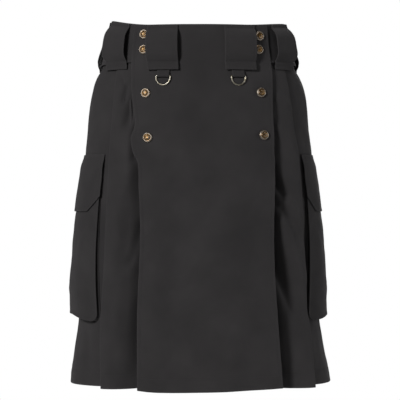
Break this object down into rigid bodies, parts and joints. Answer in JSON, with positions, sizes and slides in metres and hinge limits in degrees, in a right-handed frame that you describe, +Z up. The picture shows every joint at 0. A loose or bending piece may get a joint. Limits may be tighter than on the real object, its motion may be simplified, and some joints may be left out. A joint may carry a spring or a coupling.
{
  "type": "utility kilt",
  "caption": "Knee-length cloth kilt with a flat snapped apron, pleats, bellows side pockets, wide belt loops and D-rings, filled out as worn.",
  "frame": {"origin": "centre of the waist, at the height where the wearer carries the kilt", "axes": "+Z up, the apron faces -Y, +X towards the right as seen from the front"},
  "size_m": [0.4499, 0.3427, 0.6215],
  "materials": {
    "cloth": "charcoal black cotton canvas",
    "ring_brass": "antique brass wire",
    "snap_copper": "antique copper caps"
  },
  "bodies": {
    "kilt": {"apron": "cloth", "under_apron": "cloth", "waistband": "cloth", "front_panel_left": "cloth", "front_panel_right": "cloth", "side_panel_left": "cloth", "side_panel_right": "cloth", "back_panel_left": "cloth", "back_panel_right": "cloth", "pocket_face_left": "cloth", "pocket_face_right": "cloth", "pocket_gusset_left": "cloth", "pocket_gusset_right": "cloth", "pocket_flap_left": "cloth", "pocket_flap_right": "cloth", "loop_front_left": "cloth", "loop_front_right": "cloth", "loop_side_left": "cloth", "loop_side_right": "cloth", "loop_hip_left": "cloth", "loop_hip_right": "cloth", "loop_back": "cloth", "ring_tab_left": "cloth", "ring_tab_right": "cloth", "snap_left_1": "snap_copper", "snap_left_2": "snap_copper", "snap_left_3": "snap_copper", "snap_left_4": "snap_copper", "snap_right_1": "snap_copper", "snap_right_2": "snap_copper", "snap_right_3": "snap_copper", "snap_right_4": "snap_copper"},
    "ring_left": {"d_ring_left": "ring_brass"},
    "ring_right": {"d_ring_right": "ring_brass"}
  },
  "joints": [
    {"name": "ring_left_swing", "type": "hinge", "parent": "kilt", "child": "ring_left", "pos_m": [-0.05889, -0.12732, -0.06053], "axis": [-0.9869, 0.1615, 0], "range_deg": [0, 150]},
    {"name": "ring_right_swing", "type": "hinge", "parent": "kilt", "child": "ring_right", "pos_m": [0.06662, -0.12594, -0.06052], "axis": [-0.9813, -0.1923, 0], "range_deg": [0, 150]}
  ]
}
